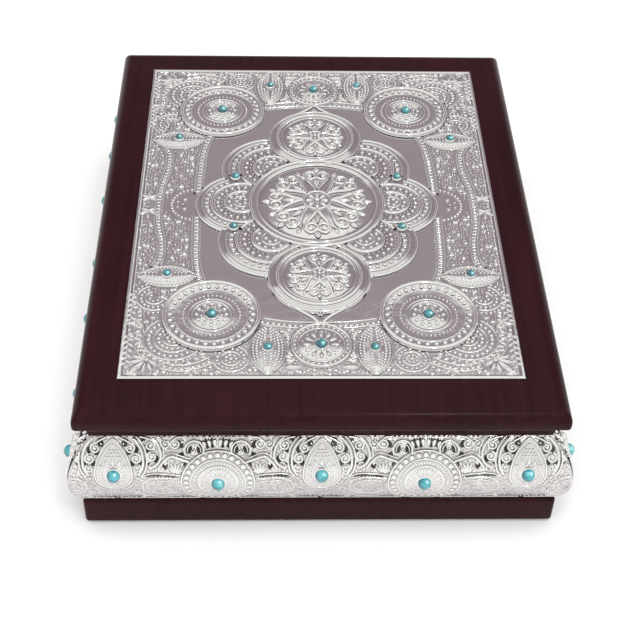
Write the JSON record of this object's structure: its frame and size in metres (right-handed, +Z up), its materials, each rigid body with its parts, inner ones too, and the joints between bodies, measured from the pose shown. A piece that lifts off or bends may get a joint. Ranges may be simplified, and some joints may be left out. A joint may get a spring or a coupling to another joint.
{
  "type": "hinged book box",
  "caption": "Wooden keepsake box for a bound holy book: cushion sides wrapped in pressed silver bands, turquoise cabochons, and a hinged lid with a pressed silver plate.",
  "frame": {"origin": "middle of the felt rest face under the base, centred left-right and front-back", "axes": "+Z up through the lid, +Y to the back where the hinges are, +X to the right seen from the front"},
  "size_m": [0.2306, 0.2956, 0.0789],
  "materials": {
    "wood": "dark wine-brown gloss lacquer",
    "silver": "silver-plated pressed relief",
    "turquoise": "polished turquoise",
    "velvet": "wine-red velvet",
    "felt": "black felt",
    "brass": "polished brass",
    "steel": "plain steel"
  },
  "bodies": {
    "box": {"base_felt": "felt", "base_board": "wood", "base_screws": "steel", "front_wall": "wood", "back_wall": "wood", "left_wall": "wood", "right_wall": "wood", "front_band": "silver", "back_band": "silver", "left_band": "silver", "right_band": "silver", "front_band_stones": "turquoise", "back_band_stones": "turquoise", "left_band_stones": "turquoise", "right_band_stones": "turquoise", "floor_pad": "velvet", "front_lining": "velvet", "back_lining": "velvet", "left_lining": "velvet", "right_lining": "velvet", "left_hinge_box_leaf": "brass", "right_hinge_box_leaf": "brass", "left_hinge_pin": "brass", "right_hinge_pin": "brass", "box_hinge_screws": "brass"},
    "lid": {"lid_board": "wood", "front_rail": "wood", "back_rail": "wood", "left_rail": "wood", "right_rail": "wood", "lid_plate": "silver", "roundel_stones": "turquoise", "petal_stones": "turquoise", "leaf_stones": "turquoise", "border_stones": "turquoise", "lid_pad": "velvet", "left_hinge_lid_leaf": "brass", "right_hinge_lid_leaf": "brass", "lid_hinge_screws": "brass"}
  },
  "joints": [
    {"name": "lid_hinge", "type": "hinge", "parent": "box", "child": "lid", "pos_m": [0, 0.1374, 0.05415], "axis": [-1, 0, 0], "range_deg": [0, 100]}
  ]
}
